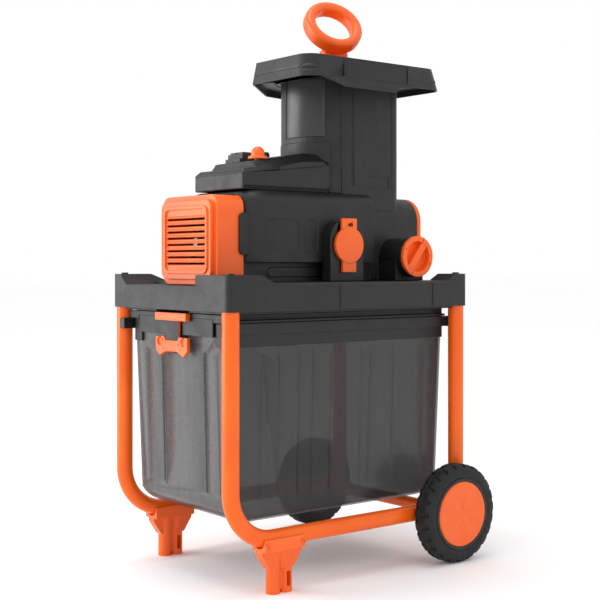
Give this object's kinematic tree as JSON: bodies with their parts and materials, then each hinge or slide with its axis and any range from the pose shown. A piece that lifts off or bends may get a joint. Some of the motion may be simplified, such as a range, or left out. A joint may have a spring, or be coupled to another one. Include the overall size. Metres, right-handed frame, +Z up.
{
  "type": "wood chipper",
  "caption": "Electric drum chipper on a two-wheeled tube frame, with feed hopper and ring plunger, motor with air grille, adjusting knob and a pull-out smoked collecting bin.",
  "frame": {"origin": "on the floor, at the middle of the machine's outline in plan", "axes": "+Z up, +X from the latch end and feet towards the wheels, the power inlet and adjusting knob on -Y"},
  "size_m": [0.56, 0.434, 1.0068],
  "materials": {
    "orange_paint": "gloss powder coat",
    "orange_plastic": "smooth moulded",
    "black_plastic": "satin moulded",
    "smoked_plastic": "clear smoked",
    "tyre": "moulded tread",
    "steel": "machined",
    "zinc_steel": "zinc plated",
    "die_cast": "die cast",
    "tool_steel": "hardened",
    "grey_plastic": "moulded",
    "green_key": "moulded",
    "red_key": "moulded",
    "dark_plastic": "moulded",
    "can_alloy": "drawn"
  },
  "bodies": {
    "chassis": {"side_frame_left": "orange_paint", "side_frame_right": "orange_paint", "foot_left": "orange_plastic", "foot_right": "orange_plastic", "frame_bolts": "zinc_steel", "axle_tube": "orange_paint", "axle": "zinc_steel", "axle_caps": "zinc_steel", "slide_rail_left": "black_plastic", "slide_rail_right": "black_plastic", "base_plate": "black_plastic", "safety_switch": "grey_plastic", "motor_hood": "black_plastic", "motor_cradle": "black_plastic", "air_grille": "orange_plastic", "stator_core": "steel", "shaft_bearings": "steel", "rear_shield": "die_cast", "gearbox_plate": "die_cast", "gearbox_case": "die_cast", "crusher_case": "die_cast", "crusher_housing": "black_plastic", "end_cap": "orange_plastic", "control_box": "black_plastic", "capacitor": "can_alloy", "switch_body": "dark_plastic", "inlet_housing": "black_plastic", "inlet_socket": "dark_plastic", "feed_chute": "black_plastic", "hopper": "black_plastic"},
    "wheel_left": {"wheel_rim_left": "black_plastic", "tyre_left": "tyre", "hub_cap_left": "orange_plastic"},
    "wheel_right": {"wheel_rim_right": "black_plastic", "tyre_right": "tyre", "hub_cap_right": "orange_plastic"},
    "bin": {"bin_tub": "smoked_plastic", "bin_collar": "black_plastic"},
    "latch": {"bin_latch": "orange_plastic"},
    "rotor": {"rotor_core": "steel", "motor_shaft": "steel", "cooling_fan": "grey_plastic", "motor_pinion": "steel"},
    "layshaft": {"layshaft": "steel", "layshaft_gear": "steel", "layshaft_pinion": "steel"},
    "drum": {"cutter_drum": "tool_steel", "drum_shaft": "steel", "output_gear": "steel"},
    "adjuster": {"adjusting_screw": "zinc_steel", "adjusting_knob": "orange_plastic"},
    "plate": {"pressure_plate": "tool_steel"},
    "plunger": {"plunger_handle": "orange_plastic", "plunger_paddle": "black_plastic"},
    "inlet_flap": {"inlet_cover": "orange_plastic"},
    "start_key": {"start_button": "green_key"},
    "stop_key": {"stop_button": "red_key"},
    "selector": {"direction_knob": "dark_plastic"},
    "reset": {"reset_button": "orange_plastic"}
  },
  "joints": [
    {"name": "bin_slide", "type": "slide", "parent": "chassis", "child": "bin", "axis": [-1, 0, 0], "range_m": [0, 0.45]},
    {"name": "latch_slide", "type": "slide", "parent": "bin", "child": "latch", "axis": [0, 0, 1], "range_m": [0, 0.013]},
    {"name": "wheel_left_spin", "type": "hinge", "parent": "chassis", "child": "wheel_left", "pos_m": [0.1932, 0.196, 0.086], "axis": [0, 1, 0], "continuous": true},
    {"name": "wheel_right_spin", "type": "hinge", "parent": "chassis", "child": "wheel_right", "pos_m": [0.1932, -0.196, 0.086], "axis": [0, 1, 0], "continuous": true},
    {"name": "plunger_lift", "type": "slide", "parent": "chassis", "child": "plunger", "axis": [0, 0, 1], "range_m": [0, 0.4]},
    {"name": "drum_spin", "type": "hinge", "parent": "chassis", "child": "drum", "pos_m": [0.138, 0.01449, 0.55712], "axis": [1, 0, 0], "continuous": true},
    {"name": "layshaft_spin", "type": "hinge", "parent": "chassis", "child": "layshaft", "pos_m": [0.06, -0.03826, 0.5951], "axis": [1, 0, 0], "continuous": true},
    {"name": "rotor_spin", "type": "hinge", "parent": "chassis", "child": "rotor", "pos_m": [-0.08, 0, 0.561], "axis": [1, 0, 0], "continuous": true},
    {"name": "knob_turn", "type": "hinge", "parent": "chassis", "child": "adjuster", "pos_m": [0.147, -0.14, 0.5375], "axis": [0, 1, 0], "range_deg": [0, 1080]},
    {"name": "plate_slide", "type": "slide", "parent": "chassis", "child": "plate", "axis": [0, 1, 0], "range_m": [0, 0.0065]},
    {"name": "flap_swing", "type": "hinge", "parent": "chassis", "child": "inlet_flap", "pos_m": [0.0085, -0.1175, 0.59], "axis": [-1, 0, 0], "range_deg": [0, 100]},
    {"name": "start_press", "type": "slide", "parent": "chassis", "child": "start_key", "axis": [0, 0, -1], "range_m": [0, 0.004], "stiffness_N_per_m": 500, "springref_m": -0.002},
    {"name": "stop_press", "type": "slide", "parent": "chassis", "child": "stop_key", "axis": [0, 0, -1], "range_m": [0, 0.004], "stiffness_N_per_m": 500, "springref_m": -0.002},
    {"name": "selector_turn", "type": "hinge", "parent": "chassis", "child": "selector", "pos_m": [-0.064, 0.02, 0.705], "axis": [0, 0, 1], "range_deg": [-45, 45]},
    {"name": "reset_press", "type": "slide", "parent": "chassis", "child": "reset", "axis": [0, 0, -1], "range_m": [0, 0.0025], "stiffness_N_per_m": 600, "springref_m": -0.002}
  ],
  "couplings": [
    {"joint": "layshaft_spin", "follows": "drum_spin", "ratio": -6.2222},
    {"joint": "rotor_spin", "follows": "drum_spin", "ratio": 44.8},
    {"joint": "plate_slide", "follows": "knob_turn", "m_per_rad": 0.00031831}
  ]
}
